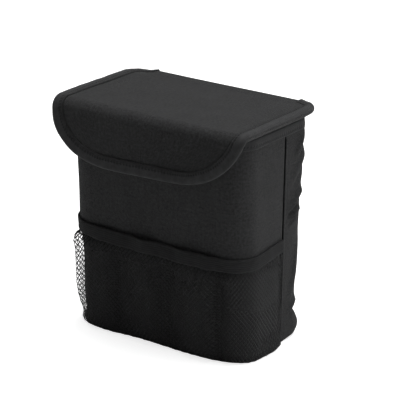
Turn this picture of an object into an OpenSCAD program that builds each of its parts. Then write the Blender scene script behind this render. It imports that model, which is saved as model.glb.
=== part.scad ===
// Hanging car trash bin: a soft bin with a flap lid, a net pocket round its front and sides
// and a touch-tape strap on its back. The bin stands on z = 0 and faces -Y, and the middle of
// its whole footprint is at x = 0, y = 0.

/* [Bin] */
// Width of the bin over its outer cloth
bin_w = 155; // [120:1:200]
// Depth of the mouth, from front cloth to rear cloth
mouth_d = 97; // [80:1:130]
// Height of the rim at the rear wall
rim_h = 175; // [140:1:220]
// How far the front wall leans out from its foot to the rim
front_rake = 8.7; // [3:0.1:14]
// How far the rear wall leans out from its foot to the rim
rear_rake = 8.7; // [3:0.1:14]
// Radius of the upright front corners
front_r = 20; // [12:0.5:28]
// Radius of the upright rear corners
rear_r = 14; // [9:0.5:20]
// Distance of the side seam behind the middle of the mouth
seam_back = 11; // [0:0.5:18]

/* [Cloth and boards] */
// Thickness of the outer cloth
cloth_t = 1; // [0.6:0.1:1.4]
// Thickness of the sheet inside the walls
wall_sheet_t = 1.4; // [0.8:0.1:2.4]
// Thickness of the waterproof lining
lining_t = 0.6; // [0.4:0.1:1]
// Thickness of the board in the base
base_board_t = 2; // [1.2:0.1:3]
// Thickness of the woven tape that binds an edge
tape_t = 0.6; // [0.4:0.1:0.9]
// Height of the tape over the rim
rim_tape_h = 8.5; // [6:0.5:14]
// Height of the seam tape round the foot
foot_tape_h = 2.5; // [1.5:0.1:4]
// Width of the gap where the front cloth meets the rear cloth
seam_gap = 1; // [0.6:0.1:1.6]
// Width of the folded edge beside the side seam
seam_fold_w = 3.5; // [2:0.5:6]
// Height of that folded edge over the cloth
seam_fold_t = 0.5; // [0.3:0.1:0.8]

/* [Lid] */
// Width of the lid over its edge tape
lid_w = 172; // [164:1:184]
// Slope of the lid, which rises towards the front
lid_slope = 3.6; // [0:0.1:5]
// Outer radius of the bend between the top and the lip
bend_r = 9; // [6:0.5:9.5]
// How far the sheet is pressed together on the inside of the bend
bend_press = 1.6; // [1:0.1:2.4]
// Height of the lip, from the lid's top to its lowest point
lip_h = 44; // [34:1:56]
// Radius of the lip's lower corners
lip_corner_r = 56; // [44:1:64]
// Space between the lip and the tape over the front rim
lip_gap = 2.2; // [2:0.1:3.4]
// Radius of the lid's rear corners
lid_rear_r = 11; // [9.5:0.5:16]
// Thickness of the lid's outer cloth
lid_cloth_t = 0.8; // [0.6:0.1:1.2]
// Thickness of the sheet inside the lid
lid_sheet_t = 1.6; // [1:0.1:2.4]
// Width of the edge tape on each face of the lid
lid_tape_w = 8.5; // [6:0.5:9]
// Thickness of the edge tape where it wraps the edge
lid_edge_t = 0.8; // [0.5:0.1:1.2]

/* [Lid hinge] */
// Distance of the hinge line behind the rear cloth at the rim
hinge_back = 6.5; // [5:0.1:9]
// Length of the sewn hinge
hinge_w = 129; // [100:1:135]
// How far the bound rear corners reach behind the hinge line
corner_back = 3.3; // [2:0.1:5]
// Depth of the hem that the lid's cloth makes along the hinge
hinge_hem = 5; // [3:0.5:8]
// Height of the hinge strip where it is sewn flat to the rear wall
hinge_flap_h = 12; // [8:0.5:20]
// Clearance between a moving face and the face that it closes on
clear = 0.3; // [0.2:0.05:0.5]

/* [Lid closure] */
// Width of the touch-tape patches
patch_w = 40; // [20:1:60]
// Height of the touch-tape patches
patch_h = 16; // [12:1:20]
// Thickness of the looped patch
loop_t = 2.2; // [1.4:0.1:2.6]
// Distance of the patches over the lip's lowest point
patch_rise = 11; // [9:0.5:14]
// Radius of the patches' corners
patch_r = 3; // [1:0.5:5]

/* [Net pocket] */
// Height of the pocket's upper edge at the front
pocket_h = 88; // [70:1:110]
// Space between the pocket and the front cloth
pocket_space = 5.6; // [4.6:0.1:9]
// Thickness of the net
net_t = 0.8; // [0.6:0.1:1.2]
// Height of the elastic band on the pocket's upper edge
band_h = 10.5; // [8:0.5:16]
// Thickness of the elastic band
band_t = 1.6; // [1.2:0.1:2.2]
// Rows of diamond gaps in the net
net_rows = 8; // [5:1:8]
// Diamond gaps in a full row
net_columns = 15; // [9:1:15]
// Width of the strands between the gaps
strand_w = 1.7; // [1.2:0.1:2.6]

/* [Hanging strap] */
// Width of the webbing
web_w = 25; // [20:1:32]
// Thickness of the webbing
web_t = 1.4; // [1:0.1:2]
// Height of the strap's middle over the ground
strap_h = 128; // [100:1:140]
// Distance of each sewn end from the middle
strap_end = 58; // [50:1:62]
// Length of the overlap held by the touch tape
strap_lap = 62; // [40:1:70]
// Thickness of each touch tape on the strap
strap_touch_t = 0.8; // [0.6:0.1:1.2]
// Length of the ramp where the upper webbing comes down beside the lap
strap_ramp = 5; // [3:0.5:8]

/* [Hidden] */
$fn = 96;

far = 400; // reach of the blocks that only trim
seat = 0.1; // how far a sewn edge stays off the tape that it is sewn into

front_lean = atan(front_rake / rim_h);
rear_lean = atan(rear_rake / rim_h);
wall_t = cloth_t + wall_sheet_t + lining_t;
lid_t = lid_cloth_t + lid_sheet_t + lining_t;

// Places in the side view as [y, z], with y measured from the middle of the mouth
lean_both = tan(lid_slope) * tan(front_lean);
rim_front_y = -mouth_d / 2 * (1 + lean_both) / (1 - lean_both);
rim_front = [rim_front_y, rim_h + (mouth_d / 2 - rim_front_y) * tan(lid_slope)];
lid_over_rim = clear + tape_t + lid_t / 2;
hinge = [
    mouth_d / 2 + hinge_back,
    rim_h + (lid_over_rim - hinge_back * sin(lid_slope)) / cos(lid_slope)
];

// The lid has its own frame: its origin is on the hinge line, its top is level and its lip
// is upright. The length runs from the hinge line to the face of the lip.
lip_inside = rim_front - [tape_t + lip_gap, 0];
lid_len = round(20 * ((hinge - lip_inside) * [cos(lid_slope), -sin(lid_slope)] + lid_t)) / 20;
lid_top = lid_t / 2;
lid_under = -lid_t / 2 - tape_t;
lip_low = lid_top + tape_t - lip_h;

// The mouth is set so that the whole footprint is centred
front_reach = hinge[0] - (lid_len + tape_t) * cos(lid_slope) + lip_low * sin(lid_slope);
rear_reach = hinge[0] + corner_back * cos(lid_slope) + (lid_top + tape_t) * sin(lid_slope);
mouth_mid = -(front_reach + rear_reach) / 2;

mouth_rear_y = mouth_mid + mouth_d / 2;
front_foot_y = mouth_mid - mouth_d / 2 + front_rake;
rear_foot_y = mouth_rear_y - rear_rake;
seam_y = mouth_mid + seam_back;
hinge_y = mouth_mid + hinge[0];
hinge_z = hinge[1];

floor_z = cloth_t + base_board_t;

// The lip's corner circles touch its lower edge and pass through the lid's side a little
// below its underside
corner_rise = lip_low + lip_corner_r - lid_under + lid_edge_t;
lip_corner = [
    lid_w / 2 - sqrt(pow(lip_corner_r, 2) - pow(corner_rise, 2)),
    lip_low + lip_corner_r
];

// The hooked patch fills what is left between the lip and the looped patch at its upper edge
patch_top = lip_low + patch_rise + patch_h;
patch_z = hinge_z + lid_len * sin(lid_slope) + patch_top - patch_h / 2;
wall_gap = lip_gap + tape_t + (lid_under - patch_top) * tan(lid_slope + front_lean);
hook_t = wall_gap - loop_t - clear;

// The net's outline, seen from above: its corner circles and where it runs to the seam
net_out = pocket_space + net_t;
net_corner = [bin_w / 2 - front_r, front_r];
net_end_x = bin_w / 2 + seat + net_t;
net_top_z = pocket_h - band_h;
net_low_z = foot_tape_h + 4 * seat;
function net_depth(z) = seam_y - seam_gap / 2 - front_foot_y + z * tan(front_lean);

// The net is drawn in at its foot: heights in it and how far it stands off the front there
net_levels = [
    [net_low_z, net_t + seat], [net_low_z + 5, 0.62 * net_out], [net_low_z + 13, net_out],
    [0.6 * net_top_z, net_out + 0.5], [net_top_z, net_out]
];

// The strap's lap, from the middle, and what the upper webbing rises over there
lap = strap_lap / 2;
lift = web_t + 2 * strap_touch_t;

cloth_black = [0.17, 0.17, 0.18];
cloth_inside = [0.26, 0.26, 0.27];
tape_black = [0.12, 0.12, 0.13];
net_black = [0.10, 0.10, 0.11];
sheet_grey = [0.62, 0.63, 0.64];

// Trimming blocks

module below_rim(drop) {
    translate([0, mouth_rear_y, rim_h])
        rotate([-lid_slope, 0, 0])
            translate([-far, -far, -far - drop])
                cube([2 * far, 2 * far, far]);
}

module layer(low, high) {
    translate([-far, -far, low])
        cube([2 * far, 2 * far, high - low]);
}

module between_y(a, b) {
    translate([-far, a, -far])
        cube([2 * far, b - a, 2 * far]);
}

// The bin's outer form, shrunk by inset. Each half leans its own way and they meet at the
// side seam, where both are as wide as the bin.

module half_plan(inset, r) {
    for (side = [-1, 1])
        translate([side * (bin_w / 2 - r), r])
            circle(r - inset);
    translate([r - bin_w / 2, inset])
        square([bin_w - 2 * r, far]);
    translate([inset - bin_w / 2, r])
        square([bin_w - 2 * inset, far]);
}

module leaning(lean) {
    rotate([lean, 0, 0])
        translate([0, 0, -far / 4])
            linear_extrude(far)
                children();
}

module front_form(inset) {
    intersection() {
        translate([0, front_foot_y, 0])
            leaning(front_lean)
                half_plan(inset, front_r);
        between_y(-far, seam_y);
    }
}

module rear_form(inset) {
    intersection() {
        translate([0, rear_foot_y, 0])
            mirror([0, 1, 0])
                leaning(rear_lean)
                    half_plan(inset, rear_r);
        between_y(seam_y, far);
    }
}

module bin_form(inset) {
    front_form(inset);
    rear_form(inset);
}

module front_wall(outer, inner) {
    difference() {
        front_form(outer);
        front_form(inner);
    }
}

module rear_wall(outer, inner) {
    difference() {
        rear_form(outer);
        rear_form(inner);
    }
}

module wall(outer, inner) {
    difference() {
        bin_form(outer);
        bin_form(inner);
    }
}

// Bin

module front_panel() {
    color(cloth_black)
        intersection() {
            front_wall(0, cloth_t);
            between_y(-far, seam_y - seam_gap / 2);
            below_rim(tape_t);
            layer(cloth_t, far);
        }
}

module rear_panel() {
    color(cloth_black)
        intersection() {
            union() {
                rear_wall(0, cloth_t);
                intersection() {
                    rear_wall(-seam_fold_t, cloth_t / 2);
                    between_y(seam_y, seam_y + seam_gap / 2 + seam_fold_w);
                    below_rim(rim_tape_h);
                    layer(foot_tape_h, far);
                }
            }
            between_y(seam_y + seam_gap / 2, far);
            below_rim(tape_t);
            layer(cloth_t, far);
        }
}

module base_panel() {
    color(cloth_black)
        intersection() {
            bin_form(0);
            layer(0, cloth_t);
        }
}

module front_stiffener() {
    color(sheet_grey)
        intersection() {
            front_wall(cloth_t, cloth_t + wall_sheet_t);
            below_rim(tape_t);
            layer(floor_z, far);
        }
}

module rear_padding() {
    color(sheet_grey)
        intersection() {
            rear_wall(cloth_t, cloth_t + wall_sheet_t);
            below_rim(tape_t);
            layer(floor_z, far);
        }
}

module base_board() {
    color(sheet_grey)
        intersection() {
            bin_form(cloth_t);
            layer(cloth_t, floor_z);
        }
}

module lining() {
    color(cloth_inside)
        intersection() {
            difference() {
                bin_form(cloth_t + wall_sheet_t);
                intersection() {
                    bin_form(wall_t);
                    layer(floor_z + lining_t, far);
                }
            }
            below_rim(tape_t);
            layer(floor_z, far);
        }
}

module rim_tape() {
    color(tape_black)
        difference() {
            intersection() {
                wall(-tape_t, wall_t + tape_t);
                below_rim(0);
            }
            below_rim(rim_tape_h);
            intersection() {
                wall(0, wall_t);
                below_rim(tape_t);
            }
        }
}

module foot_tape() {
    color(tape_black)
        intersection() {
            wall(-tape_t, 0);
            layer(tape_t / 2, foot_tape_h);
        }
}

// The cloth hinge: sewn flat under the rim tape, then out to just under the lid's rear hem
module hinge_strip() {
    flat_top = rim_h - rim_tape_h - 2 * cloth_t;
    flat_low = flat_top - hinge_flap_h;
    outer_y = hinge_y - lid_t / 2 - clear;
    top_z = hinge_z - lid_t / 2 - clear;
    function wall_y(z) = rear_foot_y + z * tan(rear_lean);
    color(cloth_black)
        rotate([90, 0, 90])
            linear_extrude(hinge_w - 2 * cloth_t, center = true)
                polygon([
                    [wall_y(flat_low), flat_low],
                    [wall_y(flat_low) + cloth_t, flat_low],
                    [wall_y(flat_top) + cloth_t, flat_top - cloth_t],
                    [outer_y, top_z - 2 * cloth_t],
                    [outer_y, top_z],
                    [outer_y - cloth_t, top_z],
                    [outer_y - cloth_t, top_z - 1.5 * cloth_t],
                    [wall_y(flat_top), flat_top]
                ]);
}

// Lid

module in_lid_frame() {
    translate([0, hinge_y, hinge_z])
        rotate([-lid_slope, 0, 0])
            children();
}

// Everything at depth d or more under the lid's outer face, in the side view. The sheet is
// pressed together at the bend, so what lies under it bends tighter.
module under_lid(d) {
    r = bend_r - d - (d > lid_cloth_t ? bend_press : 0);
    translate([d + r - lid_len, lid_top - d - r])
        circle(r);
    translate([d + r - lid_len, -2 * lip_h])
        square([lid_len, lid_top - d + 2 * lip_h]);
    translate([d - lid_len, -2 * lip_h])
        square([lid_len, lid_top - d - r + 2 * lip_h]);
}

// A layer of the lid, from depth a to depth b, a little larger than the lid
module lid_layer(a, b) {
    rotate([90, 0, 90])
        linear_extrude(lid_w + 2 * bend_r, center = true)
            intersection() {
                difference() {
                    under_lid(a);
                    under_lid(b);
                }
                translate([-2 * lid_len, 1.5 * lip_low])
                    square([2 * lid_len + lid_rear_r / 2, 3 * lip_h]);
            }
}

// The lid's outline from the front; its straight sides come from the outline from above
module lip_outline(inset) {
    for (side = [-1, 1])
        translate([side * lip_corner[0], lip_corner[1]])
            circle(lip_corner_r - inset);
    translate([-lip_corner[0], lip_low + inset])
        square([2 * lip_corner[0], 2 * lip_h]);
}

// The lid's outline from above, which rounds the rear corners
module top_outline(inset) {
    for (side = [-1, 1])
        translate([side * (lid_w / 2 - lid_rear_r), corner_back - lid_rear_r])
            circle(lid_rear_r - inset);
    translate([lid_rear_r - lid_w / 2, -2 * lid_len])
        square([lid_w - 2 * lid_rear_r, 2 * lid_len + corner_back - inset]);
    translate([inset - lid_w / 2, -2 * lid_len])
        square([lid_w - 2 * inset, 2 * lid_len + corner_back - lid_rear_r]);
}

module lid_form(inset) {
    intersection() {
        rotate([90, 0, 0])
            linear_extrude(4 * lid_len, center = true)
                lip_outline(inset);
        linear_extrude(4 * lip_h, center = true)
            top_outline(inset);
    }
}

// The stretch between the bound corners, behind a line in the lid's frame
module behind(from_y) {
    translate([-hinge_w / 2, from_y, -lip_h])
        cube([hinge_w, lid_len, 2 * lip_h]);
}

module lid_panel() {
    color(cloth_black)
        in_lid_frame() {
            difference() {
                intersection() {
                    lid_layer(0, lid_cloth_t);
                    lid_form(lid_edge_t);
                }
                behind(0);
            }
            translate([-hinge_w / 2, -hinge_hem, -lid_t / 2])
                cube([hinge_w, hinge_hem, lid_t]);
            rotate([0, 90, 0])
                cylinder(h = hinge_w, d = lid_t, center = true);
        }
}

module lid_board() {
    color(sheet_grey)
        in_lid_frame()
            difference() {
                intersection() {
                    lid_layer(lid_cloth_t, lid_cloth_t + lid_sheet_t);
                    lid_form(lid_edge_t);
                }
                behind(-hinge_hem);
            }
}

module lid_lining() {
    color(cloth_inside)
        in_lid_frame()
            difference() {
                intersection() {
                    lid_layer(lid_cloth_t + lid_sheet_t, lid_t);
                    lid_form(lid_edge_t);
                }
                behind(-hinge_hem);
            }
}

module lid_edge_tape() {
    color(tape_black)
        in_lid_frame()
            difference() {
                intersection() {
                    lid_layer(-tape_t, lid_t + tape_t);
                    lid_form(0);
                }
                intersection() {
                    lid_layer(0, lid_t);
                    lid_form(lid_edge_t);
                }
                lid_form(lid_tape_w);
                behind(-2 * lid_rear_r);
            }
}

// Touch-tape patches that hold the lip to the front wall. The looped one lies on the wall,
// and the hooked one fills what is left inside the lip at the patches' upper edge.

module rounded_patch(t) {
    rotate([90, 0, 0])
        linear_extrude(t) {
            for (x = [-1, 1], y = [-1, 1])
                translate([x * (patch_w / 2 - patch_r), y * (patch_h / 2 - patch_r)])
                    circle(patch_r);
            square([patch_w, patch_h - 2 * patch_r], center = true);
            square([patch_w - 2 * patch_r, patch_h], center = true);
        }
}

module closure_loop_patch() {
    color(tape_black)
        translate([0, front_foot_y, 0])
            rotate([front_lean, 0, 0])
                translate([0, 0, patch_z])
                    rounded_patch(loop_t);
}

module closure_hook_patch() {
    color(tape_black)
        in_lid_frame()
            translate([0, lid_t - lid_len + hook_t, patch_top - patch_h / 2])
                rounded_patch(hook_t);
}

// Net pocket

// Where the net's straight side leaves the corner circle of radius r, as an angle
function leave_angle(r, end_x, depth) =
    atan2(depth - net_corner[1], end_x - net_corner[0])
    - acos(r / norm([end_x - net_corner[0], depth - net_corner[1]]));

function leave_point(r, angle) = net_corner + r * [cos(angle), sin(angle)];

// Where that side ends when it runs a little past the seam, so that a flat cut can trim it
function past_seam(leave, end_x, depth) = leave + 1.1 * ([end_x, depth] - leave);

module pocket_plan(out, end_x, depth) {
    r = front_r + out;
    leave = leave_point(r, leave_angle(r, end_x, depth));
    end = past_seam(leave, end_x, depth);
    for (side = [-1, 1])
        translate([side * net_corner[0], net_corner[1]])
            circle(r);
    translate([-net_corner[0], net_corner[1] - r])
        square([2 * net_corner[0], end[1] - net_corner[1] + r]);
    polygon([
        [-end[0], end[1]], [-leave[0], leave[1]], [-net_corner[0], net_corner[1]],
        [net_corner[0], net_corner[1]], [leave[0], leave[1]], [end[0], end[1]]
    ]);
}

// The space inside the net's outer face, or inside its inner face
module pocket_body(shrink) {
    end_x = net_end_x - shrink;
    hull()
        for (level = net_levels)
            let (
                z = level[0],
                r = front_r + level[1] - shrink,
                leave = leave_point(r, leave_angle(r, end_x, net_depth(z))),
                end = past_seam(leave, end_x, net_depth(z))
            )
            translate([0, front_foot_y - z * tan(front_lean), z])
                linear_extrude(0.01) {
                    for (side = [-1, 1])
                        translate([side * net_corner[0], net_corner[1]])
                            circle(r, $fn = 64);
                    polygon([[-end[0], end[1]], [0, net_corner[1]], [end[0], end[1]]]);
                }
}

// Sets its children on the net, a distance along it from the middle of the front, at height z.
// Their +X then points out of the net.
module along_net(s, z) {
    r = front_r + net_out;
    depth = net_depth(z);
    angle = leave_angle(r, net_end_x, depth);
    leave = leave_point(r, angle);
    arc = r * (90 + angle) * PI / 180;
    side = s < 0 ? 1 : 0;
    run = abs(s);
    mirror([side, 0, 0])
        translate([0, front_foot_y - z * tan(front_lean), z])
            if (run < net_corner[0])
                translate([run, net_corner[1] - r, 0])
                    rotate([0, 0, -90])
                        children();
            else if (run < net_corner[0] + arc)
                translate([net_corner[0], net_corner[1], 0])
                    rotate([0, 0, -90 + (run - net_corner[0]) / r * 180 / PI])
                        translate([r, 0, 0])
                            children();
            else
                translate([leave[0], leave[1], 0])
                    rotate([0, 0, angle])
                        translate([0, run - net_corner[0] - arc, 0])
                            children();
}

function net_length() =
    let (
        r = front_r + net_out,
        depth = net_depth(net_top_z / 2),
        angle = leave_angle(r, net_end_x, depth),
        leave = leave_point(r, angle)
    )
    2 * (net_corner[0] + r * (90 + angle) * PI / 180 + norm([net_end_x, depth] - leave));

// Half a cell of the net across and up, and the radius of the circle inside it
pitch_x = net_length() / (net_columns + 0.3);
pitch_z = (net_top_z - net_low_z - strand_w) / (net_rows + 1);
cell = [pitch_x / 2, pitch_z];
cell_r = cell[0] * cell[1] / norm(cell);

module diamond(depth) {
    f = 1 - strand_w / 2 / cell_r;
    rotate([90, 0, 90])
        linear_extrude(depth, center = true)
            polygon([[-cell[0] * f, 0], [0, -cell[1] * f], [cell[0] * f, 0], [0, cell[1] * f]]);
}

module net_gaps(depth) {
    for (row = [0 : net_rows - 1])
        let (odd = row % 2, z = net_low_z + strand_w / 2 + (row + 1) * pitch_z)
            for (i = [0 : net_columns - 1 - odd])
                along_net((i - (net_columns - 1 - odd) / 2) * pitch_x, z)
                    diamond(depth);
}

module pocket_net() {
    color(net_black)
        intersection() {
            difference() {
                pocket_body(0);
                pocket_body(net_t);
                net_gaps(4 * net_out);
            }
            between_y(-far, seam_y - seam_gap / 2);
            layer(net_low_z, net_top_z);
        }
}

module pocket_band() {
    mid_z = pocket_h - band_h / 2;
    spare = (band_t - net_t) / 2;
    color(tape_black)
        intersection() {
            translate([0, front_foot_y, 0])
                leaning(front_lean)
                    difference() {
                        pocket_plan(net_out + spare, net_end_x + spare, net_depth(mid_z));
                        pocket_plan(pocket_space - spare, net_end_x - net_t,
                            net_depth(mid_z));
                    }
            between_y(-far, seam_y - seam_gap / 2);
            layer(net_top_z, pocket_h);
        }
}

// Hanging strap: two lengths of webbing sewn to the rear wall, lapped and held by touch tape

module on_rear_wall(z) {
    translate([0, rear_foot_y, 0])
        rotate([-rear_lean, 0, 0])
            translate([0, 0, z])
                children();
}

// A run of strap, seen from above: from x0 to x1, from y to y + t off the wall
module strap_run(points) {
    on_rear_wall(strap_h - web_w / 2)
        linear_extrude(web_w)
            polygon(points);
}

module strap_under() {
    color(tape_black)
        strap_run([[-lap, 0], [strap_end, 0], [strap_end, web_t], [-lap, web_t]]);
}

module strap_loop_tape() {
    color(tape_black)
        strap_run([
            [-lap, web_t], [lap, web_t],
            [lap, web_t + strap_touch_t], [-lap, web_t + strap_touch_t]
        ]);
}

module strap_hook_tape() {
    color(tape_black)
        strap_run([
            [-lap, web_t + strap_touch_t], [lap, web_t + strap_touch_t],
            [lap, lift], [-lap, lift]
        ]);
}

module strap_over() {
    color(tape_black)
        strap_run([
            [-strap_end, 0], [-lap - strap_ramp, 0], [-lap, lift], [lap, lift],
            [lap, lift + web_t], [-lap - web_t / 2, lift + web_t],
            [-lap - strap_ramp - web_t / 2, web_t], [-strap_end, web_t]
        ]);
}

front_panel();
rear_panel();
base_panel();
front_stiffener();
rear_padding();
base_board();
lining();
rim_tape();
foot_tape();
hinge_strip();
pocket_net();
pocket_band();
closure_loop_patch();
lid_panel();
lid_board();
lid_lining();
lid_edge_tape();
closure_hook_patch();
strap_under();
strap_over();
strap_loop_tape();
strap_hook_tape();
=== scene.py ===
import bpy
import bmesh
import math
from mathutils import Matrix, Quaternion, Vector, noise


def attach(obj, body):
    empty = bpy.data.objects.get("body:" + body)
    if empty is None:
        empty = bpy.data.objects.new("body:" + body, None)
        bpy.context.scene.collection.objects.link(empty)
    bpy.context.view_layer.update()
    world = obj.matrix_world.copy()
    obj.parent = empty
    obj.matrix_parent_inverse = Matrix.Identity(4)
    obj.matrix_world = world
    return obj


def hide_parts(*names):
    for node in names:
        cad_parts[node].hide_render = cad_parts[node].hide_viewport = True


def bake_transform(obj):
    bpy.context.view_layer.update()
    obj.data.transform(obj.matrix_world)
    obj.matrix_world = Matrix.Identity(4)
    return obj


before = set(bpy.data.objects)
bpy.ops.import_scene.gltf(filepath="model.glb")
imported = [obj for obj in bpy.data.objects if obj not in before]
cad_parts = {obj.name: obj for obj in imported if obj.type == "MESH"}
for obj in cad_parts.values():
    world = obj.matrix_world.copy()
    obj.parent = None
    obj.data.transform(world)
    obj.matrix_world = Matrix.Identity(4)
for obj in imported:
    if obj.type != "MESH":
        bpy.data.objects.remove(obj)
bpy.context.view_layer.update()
mm = 0.001
mapSize = 500.0  # millimetres of cloth that one unit of a piece's own map covers
print("frame loaded")


# small tools

def smooth(value):
    value = min(1.0, max(0.0, value))
    return value * value * (3 - 2 * value)


def bump(value, width):
    return math.exp(-(value / width) ** 2)


def bumps(table, place):
    # for a table of (place, height, width)
    return sum(height * bump(place - at, width) for at, height, width in table)


def ripple(x, y, seed):
    return noise.noise(Vector((x, y, seed)))


def fromTable(table, place):
    # soft steps between the (place, value) pairs of a table
    for (low, near), (high, far) in zip(table, table[1:]):
        if place <= high:
            return near + (far - near) * smooth((place - low) / (high - low))
    return table[-1][1]


def newObject(name, data):
    made = bpy.data.objects.new(name, data)
    bpy.context.scene.collection.objects.link(made)
    return made


def addNode(tree, kind, inputs=None, **settings):
    made = tree.nodes.new("ShaderNode" + kind)
    for key, value in settings.items():
        setattr(made, key, value)
    for key, value in (inputs or {}).items():
        socket = made.inputs[key]
        if isinstance(value, bpy.types.NodeSocket):
            tree.links.new(value, socket)
        else:
            socket.default_value = value
    return made


def calc(tree, operation, *values):
    return addNode(tree, "Math", dict(enumerate(values)), operation=operation).outputs[0]


def added(tree, base, value, weight):
    # base and a share of another value
    return calc(tree, "MULTIPLY_ADD", value, weight, base)


def offFrom(tree, value, at, width):
    # how far from a place, counted in widths
    return calc(tree, "DIVIDE", calc(tree, "SUBTRACT", value, at), width)


def faded(tree, value):
    return calc(tree, "EXPONENT", calc(tree, "MULTIPLY", value, -1.0))


def clothPlace(tree):
    # across and up the cloth, in millimetres, from the piece's own map
    clothMap = addNode(tree, "UVMap", uv_map="clothMap")
    scaled = addNode(tree, "VectorMath", {0: clothMap.outputs[0], "Scale": mapSize},
                     operation="SCALE")
    parts = addNode(tree, "SeparateXYZ", {0: scaled.outputs[0]})
    return scaled.outputs[0], parts.outputs["X"], parts.outputs["Y"]


def threadWave(tree, value, pitch):
    return calc(tree, "SINE", calc(tree, "MULTIPLY", value, 2 * math.pi / pitch))


def spots(tree, place, size, detail=2.0, stretch=(1, 1, 1)):
    moved = addNode(tree, "VectorMath", {0: place, 1: stretch}, operation="MULTIPLY")
    made = addNode(tree, "TexNoise", {"Vector": moved.outputs[0], "Scale": 1 / size,
                                      "Detail": detail, "Roughness": 0.55})
    return made.outputs["Fac"]


# materials

def newMaterial(name, roughness, sheen=0.0, specular=0.35):
    material = bpy.data.materials.new(name)
    material.use_nodes = True
    shader = material.node_tree.nodes["Principled BSDF"]
    shader.inputs["Roughness"].default_value = roughness
    shader.inputs["Sheen Weight"].default_value = sheen
    shader.inputs["Sheen Roughness"].default_value = 0.45
    shader.inputs["Specular IOR Level"].default_value = specular
    return material, material.node_tree


def dress(material, tone, colours, grain, depth):
    # tone runs from the dark to the light colour, and grain is raised by depth millimetres
    tree = material.node_tree
    shader = tree.nodes["Principled BSDF"]
    ramp = addNode(tree, "ValToRGB", {0: tone})
    for element, colour in zip(ramp.color_ramp.elements, colours):
        element.color = (*colour, 1)
    tree.links.new(ramp.outputs[0], shader.inputs["Base Color"])
    raised = addNode(tree, "Bump", {"Height": grain, "Distance": depth * mm, "Strength": 1.0})
    tree.links.new(raised.outputs[0], shader.inputs["Normal"])
    return material


def wovenCloth(name, colours, pitch, height, roughness, sheen, fold=None):
    material, tree = newMaterial(name, roughness, sheen)
    place, across, up = clothPlace(tree)
    threads = calc(tree, "MULTIPLY", threadWave(tree, across, pitch),
                   threadWave(tree, up, pitch))
    slubsUp = spots(tree, place, 1.1, 1.0, (1, 0.06, 1))
    slubsAcross = spots(tree, place, 1.1, 1.0, (0.06, 1, 1))
    blotches = spots(tree, place, 16.0, 3.0)
    dust = spots(tree, place, 1.9, 3.0)
    slubs = calc(tree, "ADD", slubsUp, slubsAcross)
    tone = added(tree, calc(tree, "MULTIPLY", slubs, 0.5), threads, 0.14)
    tone = added(tree, added(tree, tone, blotches, 0.34), dust, 1.9)
    if fold is not None:
        # painted shade: beyond the fold the cloth is painted darker, standing in for the lip's
        # darker light
        paintedLipShade = addNode(tree, "MapRange", {"Value": up, "From Min": fold - 3, "From Max": fold + 5})
        tone = added(tree, tone, paintedLipShade.outputs[0], -0.3)
    rough = added(tree, calc(tree, "MULTIPLY", dust, 2.4), slubs, 0.6)
    return dress(material, calc(tree, "SUBTRACT", tone, 1.08), colours,
                 calc(tree, "ADD", rough, threads), height)


def ribbedTape(name, colours, holesAt=None, shadeLineAt=None):
    # fine ribs across the tape, the needle holes that its stitches pull in, pressed in and painted
    # dark as painted shade, and a painted shade line along one edge
    ribPitch, holePitch = 0.9, 2.6
    material, tree = newMaterial(name, 0.74, 0.1, 0.33)
    place, along, across = clothPlace(tree)
    ribs = calc(tree, "MULTIPLY", threadWave(tree, along, ribPitch),
                threadWave(tree, across, ribPitch * 2))
    tone = added(tree, spots(tree, place, 5.0, 3.0), ribs, 0.18)
    height = ribs
    if holesAt is not None:
        beside = offFrom(tree, across, holesAt, 0.9)
        turn = calc(tree, "FRACT", calc(tree, "DIVIDE", along, holePitch))
        turn = offFrom(tree, turn, 0.5, 0.36)
        holeDentAndShade = faded(tree, added(tree, calc(tree, "MULTIPLY", beside, beside), turn, turn))
        # painted shade: the needle holes are painted darker, as well as pressed in by the bump
        # below
        tone = added(tree, tone, holeDentAndShade, -0.9)
        height = added(tree, ribs, holeDentAndShade, -4.0)
    if shadeLineAt is not None:
        # painted shade: a dark line is painted along the tape there, standing in for the shade
        # along the tape's edge
        beside = calc(tree, "ABSOLUTE", offFrom(tree, across, shadeLineAt, 0.75))
        tone = added(tree, tone, faded(tree, beside), -0.9)
    return dress(material, tone, colours, height, 0.09)


def yarn(name, colours, roughness, sheen, size, specular=0.35, shadedFolds=None):
    material, tree = newMaterial(name, roughness, sheen, specular)
    place = addNode(tree, "TexCoord").outputs["Object"]
    fuzz = spots(tree, place, size * mm)
    patches = spots(tree, place, 14 * mm)
    tone = added(tree, calc(tree, "MULTIPLY", patches, 0.5), fuzz, 0.6)
    if shadedFolds is not None:
        # painted shade and light: the yarn is painted darker and lighter in upright bands from the
        # first x on, standing in for the shading of the net's folds
        first, pitch = shadedFolds
        across = addNode(tree, "SeparateXYZ", {0: place}).outputs["X"]
        turn = offFrom(tree, across, first * mm, pitch * mm / (2 * math.pi))
        tone = added(tree, tone, calc(tree, "COSINE", turn), -0.3)
    return dress(material, tone, colours, fuzz, 0.12)


def elasticCloth(name, colours, pitch):
    # cords run along the band, with fine crimps across them
    material, tree = newMaterial(name, 0.75, 0.04, 0.22)
    place, along, across = clothPlace(tree)
    cords = threadWave(tree, across, pitch)
    crimps = threadWave(tree, along, 0.9)
    tone = added(tree, spots(tree, place, 7.0, 3.0), cords, 0.22)
    tone = added(tree, tone, crimps, 0.08)
    return dress(material, tone, colours, added(tree, cords, crimps, 0.3), 0.16)


def twillWebbing(name, colours):
    # herringbone: the twill turns back every few millimetres across the width
    material, tree = newMaterial(name, 0.68, 0.12)
    place, along, across = clothPlace(tree)
    folded = calc(tree, "PINGPONG", across, 4.2)
    twill = threadWave(tree, calc(tree, "ADD", along, folded), 1.3)
    tone = added(tree, spots(tree, place, 6.0, 3.0), twill, 0.28)
    return dress(material, tone, colours, twill, 0.16)


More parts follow.
